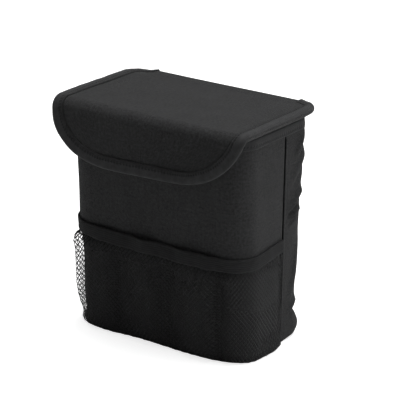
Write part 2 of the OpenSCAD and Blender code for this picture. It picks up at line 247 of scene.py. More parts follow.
def sheetStuff(name, colours, roughness, size):
    material, tree = newMaterial(name, roughness)
    place = addNode(tree, "TexCoord").outputs["Object"]
    cells = addNode(tree, "TexVoronoi", {"Vector": place, "Scale": 1 / (size * mm)})
    haze = spots(tree, place, 12 * mm, 3.0)
    tone = added(tree, haze, cells.outputs["Distance"], 0.4)
    return dress(material, tone, colours, cells.outputs["Distance"], 0.15)


outerLook = {"colours": ((0.009, 0.0091, 0.0096), (0.040, 0.0404, 0.0415)), "pitch": 0.62,
             "height": 0.15, "roughness": 0.8, "sheen": 0.06}
liningLook = {"colours": ((0.030, 0.030, 0.032), (0.060, 0.060, 0.063)), "pitch": 0.5,
              "height": 0.05, "roughness": 0.5, "sheen": 0.04}
stuff = {
    "binCloth": wovenCloth("binCloth", **outerLook),
    # the lid's cloth is painted darker past the fold, painted shade on the lip
    "lidCloth": wovenCloth("lidCloth", **outerLook, fold=107.0),
    "lining": wovenCloth("liningCloth", **liningLook),
    # the lid and rim tapes carry painted shade in their needle holes and a painted shade line
    # along an edge
    "lidTape": ribbedTape("lidTape", ((0.004, 0.0041, 0.0045), (0.044, 0.0445, 0.046)),
                          holesAt=7.1, shadeLineAt=9.3),
    "rimTape": ribbedTape("rimTape", ((0.014, 0.0142, 0.015), (0.038, 0.0385, 0.040)),
                          holesAt=6.6, shadeLineAt=0.4),
    "footTape": ribbedTape("footTape", ((0.010, 0.0102, 0.011), (0.034, 0.0345, 0.036))),
    # the net's yarn is painted darker and lighter in upright bands, painted shade of its folds
    "net": yarn("netYarn", ((0.004, 0.0041, 0.0044), (0.028, 0.0283, 0.0292)),
                0.72, 0.06, 0.8, specular=0.28, shadedFolds=(15, 45)),
    "thread": yarn("sewingThread", ((0.006, 0.0061, 0.0065), (0.028, 0.0283, 0.0295)),
                   0.6, 0.05, 0.3),
    "elastic": elasticCloth("elasticBand", ((0.009, 0.0091, 0.0096), (0.036, 0.0363, 0.0375)),
                            1.5),
    "webbing": twillWebbing("webbing", ((0.014, 0.0142, 0.015), (0.060, 0.0605, 0.062))),
    "strapThread": yarn("strapThread", ((0.035, 0.0352, 0.036), (0.075, 0.0755, 0.077)),
                        0.55, 0.1, 0.3),
    "pile": yarn("touchPile", ((0.010, 0.0101, 0.011), (0.045, 0.0455, 0.048)), 0.95, 0.35, 0.5),
    "hooks": yarn("touchHooks", ((0.012, 0.0121, 0.013), (0.045, 0.0455, 0.048)), 0.45, 0.0, 0.6),
    "board": sheetStuff("boardSheet", ((0.003, 0.003, 0.003), (0.008, 0.008, 0.008)), 0.8, 1.4),
    "foam": sheetStuff("foamSheet", ((0.003, 0.003, 0.003), (0.009, 0.009, 0.009)), 0.9, 0.8),
}
print("materials ready:", len(stuff))


# the bin's form, in millimetres

binForm = {
    "halfWidth": 77.5, "frontFoot": -40.18, "rearFoot": 39.42, "frontRadius": 20.0,
    "rearRadius": 14.0, "lean": 8.7 / 175, "seam": 10.62, "seamGap": 2.3,
    "rimRear": 48.12, "rimHeight": 175.0, "slope": math.radians(3.6),
}


def rimZ(y):
    return binForm["rimHeight"] + (binForm["rimRear"] - y) * math.tan(binForm["slope"])


def half(front):
    # sign along Y, foot and corner radius of the front or rear half
    if front:
        return -1, binForm["frontFoot"], binForm["frontRadius"]
    return 1, binForm["rearFoot"], binForm["rearRadius"]


def span(front, z, gap=0.0):
    # from the middle of the wall round the corner to the side seam
    sign, foot, radius = half(front)
    face = foot + sign * z * binForm["lean"]
    side = abs(binForm["seam"] + sign * gap / 2 - (face - sign * radius))
    return binForm["halfWidth"] - radius + radius * math.pi / 2 + side


def wallPoint(front, s, z, out=0.0):
    sign, foot, radius = half(front)
    face = foot + sign * z * binForm["lean"]
    straight = binForm["halfWidth"] - radius
    arc = radius * math.pi / 2
    a = abs(s)
    if a <= straight:
        x, y = a, face + sign * out
    elif a <= straight + arc:
        turn = (a - straight) / radius
        x = straight + (radius + out) * math.sin(turn)
        y = face - sign * radius + sign * (radius + out) * math.cos(turn)
    else:
        x = binForm["halfWidth"] + out
        y = face - sign * radius - sign * (a - straight - arc)
    return Vector((math.copysign(x, s), y, z))


def ringSpot(share, z):
    # once round the bin from the middle of the front, by way of +X and the back
    front, rear = span(True, z), span(False, z)
    side = 1 if share <= 0.5 else -1
    run = (share if share <= 0.5 else 1 - share) * 2 * (front + rear)
    if run <= front:
        return True, side * run
    return False, side * (front + rear - run)


def ringPoint(share, z, out=0.0):
    isFront, s = ringSpot(share, z)
    return wallPoint(isFront, s, z, out)


# where the soft foot of the front stands out or in: place along it, how far and how wide
footBulges = [(-107, 3.0, 14), (-44, 2.6, 19), (22, 1.2, 20), (66, -3.2, 12), (107, 3.0, 14)]


def footStand(share):
    isFront, s = ringSpot(share, 1.0)
    return bumps(footBulges, s) if isFront else 0.0


def rimPoint(share, drop, out):
    y = ringPoint(share, binForm["rimHeight"]).y
    for _ in range(2):
        point = ringPoint(share, rimZ(y) - drop, out)
        y = point.y
    return point


def toObject(bm, name, material, thick=0.0, even=False):
    # a thickness in millimetres is added on the inner side
    mesh = bpy.data.meshes.new(name)
    bm.to_mesh(mesh)
    bm.free()
    mesh.shade_smooth()
    mesh.materials.append(stuff[material])
    piece = newObject(name, mesh)
    if thick:
        wall = piece.modifiers.new("wall", "SOLIDIFY")
        wall.thickness, wall.offset, wall.use_even_offset = thick * mm, -1, even
    return piece


def finished(bm, name, material, body, replaces=(), thick=0.0, even=False):
    piece = toObject(bm, name, material, thick, even)
    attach(piece, body)
    if replaces:
        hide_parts(*replaces)
    return piece


def closedPiece(bm, name, material, body, replaces=()):
    # one that is closed already; its faces are turned out, which fails on the net
    bmesh.ops.recalc_face_normals(bm, faces=bm.faces)
    return finished(bm, name, material, body, replaces)


def clothGrid(across, up, place, size, closed=False):
    # a grid of cloth laid by place(u, v), with its own map in real sizes
    bm = bmesh.new()
    bmesh.ops.create_grid(bm, x_segments=across, y_segments=up, size=0.5)
    layer = bm.loops.layers.uv.new("clothMap")
    for face in bm.faces:
        for loop in face.loops:
            loop[layer].uv = ((loop.vert.co.x + 0.5) * size[0] / mapSize,
                              (loop.vert.co.y + 0.5) * size[1] / mapSize)
    for vert in bm.verts:
        vert.co = place(vert.co.x + 0.5, vert.co.y + 0.5) * mm
    if closed:
        bmesh.ops.remove_doubles(bm, verts=bm.verts, dist=0.00001)
    return bm


def faceOut(bm, centre):
    # turns the faces so that they look away from a point inside the piece
    bmesh.ops.recalc_face_normals(bm, faces=bm.faces)
    bm.normal_update()
    away = sum((face.calc_center_median() - centre).dot(face.normal) * face.calc_area()
               for face in bm.faces)
    if away < 0:
        bmesh.ops.reverse_faces(bm, faces=bm.faces)


# places in millimetres that the cloth of the bin and of the lid faces away from
insideBin = (0, 0, 90)
insideLid = (0, 0, 100)


def clothPiece(name, material, across, up, place, size, thick, body, replaces=(),
               centre=insideBin, closed=False, inward=False):
    bm = clothGrid(across, up, place, size, closed)
    faceOut(bm, Vector(centre) * mm)
    if inward:
        bmesh.ops.reverse_faces(bm, faces=bm.faces)
    return finished(bm, name, material, body, replaces, thick)


stitchPitch = 2.6


def stitchRow(name, points, ups, length, width, body, material="thread"):
    # one thread bead for each stitch, along a line of points on the cloth
    bm = bmesh.new()
    for here, there, lift in zip(points[:-1], points[1:], ups):
        along = (there - here).normalized()
        side = lift.cross(along).normalized()
        turned = Matrix((along, side, along.cross(side))).transposed().to_4x4()
        middle = (here + there) / 2
        bmesh.ops.create_uvsphere(
            bm, u_segments=7, v_segments=5, radius=1.0,
            matrix=Matrix.Translation(middle * mm) @ turned
            @ Matrix.Diagonal((length / 2 * mm, width / 2 * mm, width / 2 * mm, 1)))
    return closedPiece(bm, name, material, body)


# cloth walls

wallLook = {
    "clothThick": 0.9, "footRound": 2.6, "foldWidth": 3.4, "foldHeight": 0.55,
    "frontSwell": 0.35, "frontLeast": -0.65, "rearSwell": 1.3, "rearLeast": -0.5,
}

# creases of the rear side strips: upper end and lower end as (y, z), depth and width
sideCreases = [
    {"top": (37.0, 121.0), "low": (13.0, 104.5), "depth": 1.5, "width": 3.0},
    {"top": (35.0, 106.0), "low": (15.0, 98.0), "depth": 1.2, "width": 2.4},
    {"top": (40.0, 150.0), "low": (20.0, 128.0), "depth": 0.8, "width": 4.5},
    {"top": (41.0, 168.0), "low": (26.0, 146.0), "depth": 0.9, "width": 4.0},
    {"top": (36.0, 82.0), "low": (24.0, 30.0), "depth": 0.8, "width": 4.0},
    {"top": (33.0, 32.0), "low": (20.0, 22.0), "depth": 1.0, "width": 3.5},
]

# height and how far the cloth is drawn in there at the corner with the net's fold
cornerDraw = [(0, 1.2), (8, 1.9), (18, 1.0), (26, 0.9), (38, 1.4), (52, 1.8), (64, 1.6),
              (76, 0.7), (92, 0.0)]


def footCurve(z):
    # the wall turns under at the foot
    radius = wallLook["footRound"]
    lack = max(0.0, radius - z)
    return math.sqrt(max(0.0, radius * radius - lack * lack)) - radius


def frontWave(s, z):
    edge = smooth((span(True, z) - abs(s)) / 14) * smooth((168 - z) / 16) * smooth(z / 14)
    wave = 0.9 * ripple(s / 44, z / 52, 3.1) + 0.35 * ripple(s / 15, z / 24, 8.4)
    dent = (0.4 * bump(s - 30, 20) * bump(z - 128, 22)
            - 0.5 * bump(s + 18, 26) * bump(z - 118, 18))
    foot = bump(z - 3, 8) * bumps(footBulges, s)
    drawn = fromTable(cornerDraw, z) * smooth((-s - 54) / 14) * smooth((s + 112) / 14)
    # inwards it reaches no further than the stiffener allows
    swept = edge * max(wallLook["frontLeast"], wave + dent)
    return wallLook["frontSwell"] + swept + foot - drawn + footCurve(z)


def creaseDepth(y, z):
    total = 0.0
    for crease in sideCreases:
        top, low = Vector(crease["top"]), Vector(crease["low"])
        run = low - top
        t = (Vector((y, z)) - top).dot(run) / run.length_squared
        off = run.normalized().cross(Vector((y, z)) - top) / crease["width"]
        fade = smooth((t + 0.12) / 0.3) * smooth((1.15 - t) / 0.5)
        total += 1.9 * crease["depth"] * fade * (bump(off, 0.8) - 0.75 * bump(off - 1.4, 0.7))
    return total


# where the soft rear corners stand out or in: height, how far and how wide
cornerBulges = [(50, 0.9, 9), (74, -0.7, 8), (119, -1.0, 13), (138, 1.3, 34)]


def rearWave(s, z):
    fromSeam = span(False, z) - abs(s)
    edge = smooth((fromSeam - 2) / 12) * smooth((170 - z) / 12) * smooth(z / 10)
    wave = 1.0 * ripple(s / 30, z / 44, 21.7) + 0.5 * ripple(s / 11, z / 26, 15.2)
    # the other side strip has the same creases, lower and shallower
    depth, level = (1.0, z) if s > 0 else (0.8, z + 6)
    creases = smooth((abs(s) - 50) / 12) * depth * creaseDepth(wallPoint(False, s, z).y, level)
    corner = 4.8 * bump(fromSeam - 27, 15) * bump(z - 9, 8.5)
    corner += 1.3 * bump(fromSeam - 27, 14) * bump(z - 27, 5)
    corner -= 1.5 * bump(fromSeam - 24, 9) * bump(z - 20.5, 2.2)
    corner += bump(fromSeam - 30, 14) * bumps(cornerBulges, z)
    swell = wallLook["rearSwell"] * math.sin(math.pi * min(1, max(0, z / 172)))
    swell *= smooth((50 - abs(s)) / 30)
    fold = wallLook["foldHeight"] * smooth(wallLook["foldWidth"] + 0.7 - fromSeam)
    pinch = -0.35 * bump(fromSeam - wallLook["foldWidth"] - 0.9, 0.8)
    swept = max(wallLook["rearLeast"], edge * (wave + creases + swell) + corner)
    return swept + (fold + pinch) * smooth((168 - z) / 3) + footCurve(z)


def wallPlace(front, wave):
    # from side seam to side seam, and up to the sloping rim
    way = 1 if front else -1
    low, rise, underRim = 0.5, 173, 1.6

    def place(u, v):
        level = low + v * rise
        s = way * (2 * u - 1) * span(front, level, binForm["seamGap"])
        z = low + v * (rimZ(wallPoint(front, s, level).y) - underRim)
        s = way * (2 * u - 1) * span(front, z, binForm["seamGap"])
        return wallPoint(front, s, z, wave(s, z))
    return place


frontCloth = clothPiece("frontCloth", "binCloth", 150, 110, wallPlace(True, frontWave),
                        (240, 175), wallLook["clothThick"], "bin", ["front_panel"])
rearCloth = clothPiece("rearCloth", "binCloth", 190, 130, wallPlace(False, rearWave),
                       (222, 175), wallLook["clothThick"], "bin", ["rear_panel"])


def frontSheetPlace(u, v):
    s = (2 * u - 1) * (span(True, 90, binForm["seamGap"]) - 0.6)
    z = 4.0 + v * (rimZ(wallPoint(True, s, 170).y) - 6.5)
    return wallPoint(True, s, z, frontWave(s, z) - 0.95)


clothPiece("frontSheet", "board", 110, 60, frontSheetPlace, (238, 170), 0.6, "bin",
           ["front_stiffener"])


def basePlace(u, v):
    # from the foot's edge in to the middle
    edge = ringPoint(u, 0.4, footStand(u) - wallLook["footRound"] * 0.9)
    point = Vector((0, -0.4, 0.4)).lerp(edge, 1 - v)
    sag = 0.35 * ripple(point.x / 30, point.y / 26, 5.5) * smooth(v / 0.25)
    return Vector((point.x, point.y, 0.35 + abs(sag)))


baseCloth = clothPiece("baseCloth", "binCloth", 120, 24, basePlace, (150, 78), 0.6, "bin",
                       ["base_panel"], closed=True)


def liningPlace(u, v):
    # down the wall, round the foot and over the floor to the middle
    wallShare = 0.78
    if v < wallShare:
        t = v / wallShare
        y = ringPoint(u, 170).y
        top = rimZ(y) - 1.5
        z = top + (5.6 - top) * t
        wave = 0.35 * ripple(u * 22, z / 26, 31.0) * smooth(t / 0.1)
        return ringPoint(u, z, -3.05 - abs(wave) - 0.4)
    t = (v - wallShare) / (1 - wallShare)
    foot = ringPoint(u, 4.6, -4.6)
    point = foot.lerp(Vector((0, -0.4, 4.6)), smooth(t) * 0.4 + t * 0.6)
    lift = 0.4 * ripple(point.x / 22, point.y / 20, 12.0)
    return Vector((point.x, point.y, 3.9 + abs(lift) + 0.7 * (1 - smooth(t / 0.08))))


binLining = clothPiece("binLining", "lining", 170, 90, liningPlace, (445, 220), 0.35, "bin",
                       ["lining"], closed=True, inward=True)
print("cloth walls laid")


# rim tape and foot tape

rimLook = {"height": 8.4, "wall": 3.0, "tape": 0.6, "holesUp": 1.9}


def rimProfile():
    # outer hem, over the top, inner hem, as (out, drop)
    tape, wall, low = rimLook["tape"], rimLook["wall"], rimLook["height"]
    radius = wall / 2 + tape
    steps = [(0.15, low + 0.1), (tape * 0.8, low), (tape + 0.12, low - 0.7), (tape, low - 1.4),
             (tape - 0.2, low - rimLook["holesUp"]), (tape, low - 2.4), (tape + 0.15, 5.0),
             (tape + 0.1, 3.4)]
    for i in range(9):
        turn = math.pi * i / 8
        steps.append((radius * math.cos(turn) - wall / 2, radius * (1 - math.sin(turn))))
    steps += [(-wall - tape, 4.0), (-wall - tape, low - 1.0), (-wall - tape * 0.8, low),
              (-wall - 0.1, low + 0.1)]
    return steps


def alongSteps(steps, share):
    place = share * (len(steps) - 1)
    i = min(int(place), len(steps) - 2)
    t = place - i
    return tuple(a + (b - a) * t for a, b in zip(steps[i], steps[i + 1]))


rimSteps = rimProfile()


def rimPlace(u, v):
    out, drop = alongSteps(rimSteps, v)
    hem = smooth((drop - 3) / 3) * (0.35 if out > 0 else 0)
    wave = 0.35 * ripple(u * 30, 1.0, 44.0) * smooth((drop - 2) / 4)
    sway = 0.2 * ripple(u * 26, 5.0, 2.0) * smooth((drop - 4) / 3)
    return rimPoint(u, drop + sway, out + wave + hem)


clothPiece("rimTape", "rimTape", 230, len(rimSteps) - 1, rimPlace, (450, 24), 0.35, "bin",
           ["rim_tape"], closed=True)


def footPlace(u, v):
    turn = 2 * math.pi * v
    ribs = 0.1 * math.sin(u * 2 * math.pi * 110)
    z = 1.55 + (1.2 + ribs) * math.sin(turn)
    return ringPoint(u, z, footStand(u) - 0.55 + (0.9 + ribs) * math.cos(turn))


clothPiece("footTape", "footTape", 330, 8, footPlace, (450, 8), 0.0, "bin",
           ["foot_tape"], centre=(0, 0, 1.5), closed=True)
print("tapes on rim and foot")


# net pocket

pocketLook = {
    "out": 6.3, "top": 78.0, "low": 1.1, "columns": 72, "rows": 18, "strand": 1.05,
    "bandHeight": 10.3, "bandThick": 1.5, "bandRibs": 6, "divider": 57.5,
}
cornerArc = binForm["frontRadius"] * math.pi / 2
netArc = (binForm["frontRadius"] + pocketLook["out"]) * math.pi / 2
netStraight = binForm["halfWidth"] - binForm["frontRadius"]
# where the band stands off the front: place along it, how far and how wide
bandBulges = [(-38, 0.8, 10), (-7, 3.2, 9), (29, 2.4, 8), (48, 1.1, 6)]
# the same for the net's upright folds under it
netFolds = [(-30, -3.0, 7), (-2, 1.0, 8), (15, -3.8, 6), (42, 1.0, 8)]
# height and how far the net hangs off the wall there, in a fold at the corner on the left
# in the photograph and in a soft curve at the other
foldHang = [(0, -0.2), (4, 0.1), (9, 1.5), (15, 3.5), (21, 4.9), (28, 5.7), (38, 5.9), (50, 5.8),
            (60, 5.9), (66, 6.7), (71, 5.6), (78, 1.2)]
cornerHang = [(0, 0.9), (40, 3.4), (80, 1.2)]
foldAt, foldWide = -77.7, 8.5


def netRun(run):
    # run along the net to run along the wall under it
    a = abs(run)
    if a > netStraight + netArc:
        a = netStraight + cornerArc + a - netStraight - netArc
    elif a > netStraight:
        a = netStraight + (a - netStraight) / netArc * cornerArc
    return math.copysign(a, run)


def netReach(z):
    return span(True, z, 2.5) - cornerArc + netArc


def netTaper(s, z):
    # 1 at the corner, 0 at the side seam
    side = span(True, z, 1.0) - netStraight - cornerArc
    return min(1.0, max(0.0, (span(True, z, 1.0) - abs(s)) / side))


def bandLean(s, z, high):
    # how far the band's middle stands off the wall
    share = high / pocketLook["bandHeight"]
    taper = netTaper(s, z)
    lean = (bumps(bandBulges, s) - 4.6) * smooth(taper * 2)
    lean += 0.4 * ripple(s / 12, 2.0, 13.0) * taper
    lean *= 0.45 + 0.55 * share
    lean -= (3.3 - 2.4 * share) * smooth((abs(s) - 46) / 16) * taper
    return 0.85 + (pocketLook["out"] - 0.5) * taper + lean


def netOut(s, z):
    # how far the net's middle stands off the wall
    taper = netTaper(s, z)
    foot = smooth((z - pocketLook["low"] + 1.5) / 13)
    slack = 1.4 * ripple(s / 13, z / 55, 7.3) + 0.7 * ripple(s / 6, z / 22, 9.9)
    slack += 0.9 * math.sin(math.pi * min(1, z / pocketLook["top"])) + bumps(netFolds, s)
    valley = 5.0 * bump(s - pocketLook["divider"], 5.5) * smooth((pocketLook["top"] - z) / 14)
    gathers = 0.7 * math.sin(s * 1.05 + 2 * ripple(s / 20, 0, 1.7)) * bump(z - 4, 11)
    settled = smooth((pocketLook["top"] - z) / 10) * foot * min(1, taper * 1.6)
    out = pocketLook["out"] * taper * foot + settled * (slack - valley)
    out += gathers * (0.5 + 0.5 * foot) * taper
    out += (0.8 + bumps(footBulges, s)) * (1 - foot) * smooth(taper * 3)
    corner = smooth((abs(s) - 56) / 16) * smooth(taper * 2)
    if s < 0:
        hanging = fromTable(foldHang, z)
        ridge = max(0.0, 1 - math.hypot(s - foldAt, 0.8) / foldWide)
        hanging = min(hanging, 1.0) + max(0.0, hanging - 1.0) * min(1.0, ridge * 1.1)
    else:
        hanging = fromTable(cornerHang, z)
    out += (hanging - out) * corner * smooth((z - 1) / 6)
    # its upper edge is sewn behind the band
    out += (bandLean(s, z, 0) - 1.0 - out) * smooth((z - 70) / 6)
    return max(frontWave(s, z) + 0.75, out)


def netPlace(u, v):
    z = pocketLook["low"] + v * (pocketLook["top"] - pocketLook["low"])
    z += 0.5 * ripple(u * 40, v * 5, 3.3) * v * (1 - v) * 4
    run = (2 * u - 1) * netReach(z)
    run += 0.8 * ripple(u * 24, v * 7, 6.1) * (1 - abs(2 * u - 1))
    s = netRun(run)
    return wallPoint(True, s, z, netOut(s, z))


def makeNet():
    # a grid poked and stripped of its own edges leaves diamonds, which become strands
    # a known fault: the strands' thickness runs straight up and not off the cloth, so they
    # are nearly flat, and the finished net's faces look inwards
    bm = bmesh.new()
    bmesh.ops.create_grid(bm, x_segments=pocketLook["columns"], y_segments=pocketLook["rows"],
                          size=0.5)
    inner = [edge for edge in bm.edges if not edge.is_boundary]
    bmesh.ops.poke(bm, faces=bm.faces)
    bmesh.ops.dissolve_edges(bm, edges=[e for e in inner if e.is_valid], use_verts=False)
    for vert in bm.verts:
        vert.co = netPlace(vert.co.x + 0.5, vert.co.y + 0.5) * mm
    bmesh.ops.wireframe(bm, faces=bm.faces, thickness=pocketLook["strand"] * mm,
                        use_replace=True, use_boundary=True, use_even_offset=False)
    return closedPiece(bm, "pocketNet", "net", "bin", ["pocket_net"])


pocketNet = makeNet()


def bandProfile():
    thick, high, ribs = (pocketLook[k] for k in ("bandThick", "bandHeight", "bandRibs"))
    steps = []
    for i in range(ribs * 4 + 1):
        rib = 0.14 * math.cos(2 * math.pi * i / 4)
        steps.append((thick / 2 - rib, high * (0.04 + 0.92 * i / (ribs * 4))))
    steps += [(thick / 4, high), (-thick / 4, high), (-thick / 2, high * 0.96),
              (-thick / 2, high * 0.5), (-thick / 2, high * 0.04), (-thick / 4, 0),
              (thick / 4, 0), steps[0]]
    return steps


bandSteps = bandProfile()


def bandPlace(u, v):
    off, high = alongSteps(bandSteps, v)
    z = pocketLook["top"] - 0.6 + high
    s = netRun((2 * u - 1) * netReach(z))
    stand = max(frontWave(s, z) + 1.0, bandLean(s, z, high))
    z += 0.5 * ripple(s / 16, 8.0, 4.4) + 0.25 * ripple(s / 5, 3.0, 1.1) - 0.3
    return wallPoint(True, s, z, stand + off)


bandGrid = clothGrid(180, len(bandSteps) - 1, bandPlace, (266, 26), closed=True)
bmesh.ops.holes_fill(bandGrid, edges=[e for e in bandGrid.edges if e.is_boundary])
closedPiece(bandGrid, "pocketBand", "elastic", "bin", ["pocket_band"])


def wallStitches(name, front, points, out, length, width):
    line = [wallPoint(front, s, z, out(s, z)) for s, z in points]
    ups = [(wallPoint(front, s, z, 1.0) - wallPoint(front, s, z, 0.0)).normalized()
           for s, z in points]
    return stitchRow(name, line, ups, length, width, "bin")


def upright(s, low, high):
    count = int((high - low) / stitchPitch)
    return [(s, low + i * stitchPitch) for i in range(count + 1)]


wallStitches("dividerStitches", True, upright(pocketLook["divider"], 7, 66),
             lambda s, z: netOut(s, z) + 0.55, 2.3, 0.95)
for side, label in ((1, "Left"), (-1, "Right")):
    rows = [(side * (span(False, z) - 4.2), z) for _, z in upright(0, 6, 164)]
    wallStitches("seamStitches" + label, False, rows, lambda s, z: rearWave(s, z) + 0.02,
                 2.0, 0.45)
    rows = [(side * (span(True, z) - 2.4), z) for _, z in upright(0, 4, 87)]
    wallStitches("pocketSeamStitches" + label, True, rows,
                 lambda s, z: netOut(s, min(z, 78)) + (0.9 if z > 78 else 0.4), 2.0, 0.45)
rimCount = 172
rimRow, rimUps = [], []
for i in range(rimCount + 1):
    share = i / rimCount
    rimRow.append(rimPoint(share, rimLook["height"] - rimLook["holesUp"], 0.95))
    rimUps.append((rimPoint(share, 4, 2.0) - rimPoint(share, 4, 0.0)).normalized())
stitchRow("rimStitches", rimRow, rimUps, 1.9, 0.42, "bin")
print("pocket and wall stitches sewn")


# lid

lidForm = {
    "hingeY": 54.62, "hingeZ": 176.996, "slope": math.radians(3.6), "length": 109.65,
    "top": 1.5, "bend": 7.4, "press": 1.2, "halfWidth": 86.0, "rearRadius": 11.0,
    "cornerBack": 3.3, "lipLow": -41.9, "lipRadius": 56.0, "lipCorner": 32.64,
    "hingeHalf": 64.5,
}
flatRun = lidForm["length"] - lidForm["bend"]
bendRun = lidForm["bend"] * math.pi / 2
bendLow = lidForm["top"] - lidForm["bend"]
lipRun = bendLow - lidForm["lipLow"]
lidRun = flatRun + bendRun + lipRun


def fromLid(x, y, z):
    c, s = math.cos(lidForm["slope"]), math.sin(lidForm["slope"])
    return Vector((x, lidForm["hingeY"] + y * c + z * s, lidForm["hingeZ"] - y * s + z * c))


def lidDrape(x, run):
    # how the soft lid lies off its pattern, in the lid's own axes: narrower towards +X,
    # a little raised, and the lip's left part standing forward
    low = smooth((run - flatRun) / (bendRun + lipRun))
    inward = (4.0 + 1.3 * low) * smooth((x - 58 + 42 * low) / 28)
    inward += 2.5 * smooth((26 - run) / 30) * smooth((x - 66) / 18)
    lift = 1.1 + 0.7 * smooth((x + 40) / 110) + 0.5 * smooth((14 - run) / 14)
    lift -= (2.3 if x < 0 else 1.1) * smooth((abs(x) - 62) / 12) * smooth((18 - run) / 20)
    inward -= smooth((-x - 58) / 26) * (1.7 * bump(run - 100, 22) - 1.3 * smooth((run - 106) / 18))
    inward += 1.6 * smooth((-x - 44) / 16) * smooth((run - 116) / 16)
    forward = 6.4 * smooth((52 - x) / 88) * low
    return Vector((-inward, -forward, lift * (1 - 0.4 * low)))


def lidPoint(x, run, depth=0.0):
    # run is counted along the outer face from the hinge line over the bend to the lip's end
    radius = lidForm["bend"] - depth - lidForm["press"] * smooth((depth - 0.9) / 0.9)
    turnY = lidForm["length"] - depth - radius
    turnZ = lidForm["top"] - depth - radius
    if run <= flatRun:
        y, z = -run * turnY / flatRun if run > 0 else -run, lidForm["top"] - depth
    elif run <= flatRun + bendRun:
        turn = (run - flatRun) / lidForm["bend"]
        y, z = -turnY - radius * math.sin(turn), turnZ + radius * math.cos(turn)
    else:
        share = (run - flatRun - bendRun) / lipRun
        y, z = -turnY - radius, turnZ + (lidForm["lipLow"] - turnZ) * share
    return fromLid(*(Vector((x, y, z)) + lidDrape(x, run)))


def lidWave(x, run):
    top = smooth(run / 20) * smooth((flatRun + bendRun - run) / 30)
    wave = 0.7 * ripple(x / 40, run / 34, 2.2) + 0.25 * ripple(x / 14, run / 16, 5.7)
    fold = 0.55 * ripple(x / 13, 3.0, 9.2) * bump(run - flatRun - 5, 9)
    lip = 0.5 * ripple(x / 34, run / 30, 17.0) * smooth((run - flatRun - 8) / 14)
    return 0.35 + max(-0.3, top * wave + fold + lip)


def runOfZ(z):
    if z >= bendLow:
        return flatRun + lidForm["bend"] * math.acos(min(1, (z - bendLow) / lidForm["bend"]))
    return flatRun + bendRun + bendLow - z


def lidOutline():
    # from the rear left end of the tape round the lip to the rear right end, as (x, run)
    f = lidForm
    right = [(f["hingeHalf"] + 0.2, -f["cornerBack"]), (70, -f["cornerBack"])]
    for i in range(13):
        turn = math.pi / 2 * i / 12
        right.append((f["halfWidth"] - f["rearRadius"] * (1 - math.sin(turn)),
                      -f["cornerBack"] + f["rearRadius"] * (1 - math.cos(turn))))
    start = math.asin((f["halfWidth"] - f["lipCorner"]) / f["lipRadius"])
    sideZ = f["lipLow"] + f["lipRadius"] * (1 - math.cos(start))
    sideEnd = runOfZ(sideZ)
    low = right[-1][1]
    right += [(f["halfWidth"], low + (sideEnd - low) * i / 30) for i in range(1, 30)]
    for i in range(41):
        turn = start * (1 - i / 40)
        right.append((f["lipCorner"] + f["lipRadius"] * math.sin(turn),
                      runOfZ(f["lipLow"] + f["lipRadius"] * (1 - math.cos(turn)))))
    right += [(f["lipCorner"] * (1 - i / 12), lidRun) for i in range(1, 12)]
    left = [(-x, run) for x, run in right]
    return [Vector(p) for p in left + [(0, lidRun)] + right[::-1]]


def evenly(points, count):
    # points evenly spaced along a line, and its length
    lengths = [0.0]
    for a, b in zip(points[:-1], points[1:]):
        lengths.append(lengths[-1] + (b - a).length)
    out, i = [], 0
    for k in range(count + 1):
        want = lengths[-1] * k / count
        while i < len(points) - 2 and lengths[i + 1] < want:
            i += 1
        t = (want - lengths[i]) / max(1e-9, lengths[i + 1] - lengths[i])
        out.append(points[i].lerp(points[i + 1], min(1.0, t)))
    return out, lengths[-1]


tapeCount = 240
tapeLine, tapeLength = evenly(lidOutline(), tapeCount)
for _ in range(14):
    tapeLine = [tapeLine[0]] + [(a + b * 2 + c) / 4 for a, b, c in
                                zip(tapeLine, tapeLine[1:], tapeLine[2:])] + [tapeLine[-1]]
# the way inwards from each point, across the tape
tapeInward = []
for i in range(tapeCount + 1):
    run = tapeLine[min(tapeCount, i + 1)] - tapeLine[max(0, i - 1)]
    tapeInward.append(Vector((run.y, -run.x)).normalized())
for _ in range(3):
    tapeInward = [(tapeInward[max(0, i - 1)] + tapeInward[i] + tapeInward[min(tapeCount, i + 1)])
                  .normalized() for i in range(tapeCount + 1)]
if tapeInward[tapeCount // 2].y > 0:
    tapeInward = [-way for way in tapeInward]


def onTape(share, inset):
    place = share * tapeCount
    i = min(int(place), tapeCount - 1)
    t = place - i
    point = tapeLine[i].lerp(tapeLine[i + 1], t)
    return point + tapeInward[i].lerp(tapeInward[i + 1], t).normalized() * inset


tapeLook = {"width": 9.3, "stitchIn": 7.1}
tapeMapWide = 18.0
# round the tape's section, from its upper inner edge: how far in and how deep
tapeSteps = [
    (9.3, 0.7), (9.25, -0.2), (8.9, -0.6), (8.2, -0.8), (7.6, -0.8), (7.1, -0.62), (6.6, -0.8),
    (5.2, -1.05), (3.2, -1.1), (1.5, -0.9), (0.5, -0.2), (0.05, 0.7), (0.0, 1.6), (0.15, 2.5),
    (0.7, 3.2), (1.8, 3.6), (5.0, 3.65), (8.9, 3.6), (9.3, 3.1),
]


def tapePlace(u, v):
    inset, depth = alongSteps(tapeSteps, v)
    point = onTape(u, inset)
    pucker = 0.12 * math.sin(u * tapeLength * 2 * math.pi / 5.2) * bump(inset - 8.0, 1.6)
    wobble = 0.35 * ripple(u * 40, inset / 9, 3.9) + 0.2 * ripple(u * 110, inset / 5, 6.2)
    rise = lidWave(point.x, point.y) * 0.7 if depth < 1.6 else 0.2
    return lidPoint(point.x, point.y, depth - rise - (pucker + wobble * 0.6 if depth < 1 else 0))


tapeGrid = clothGrid(tapeCount, len(tapeSteps) - 1, tapePlace, (tapeLength, tapeMapWide))
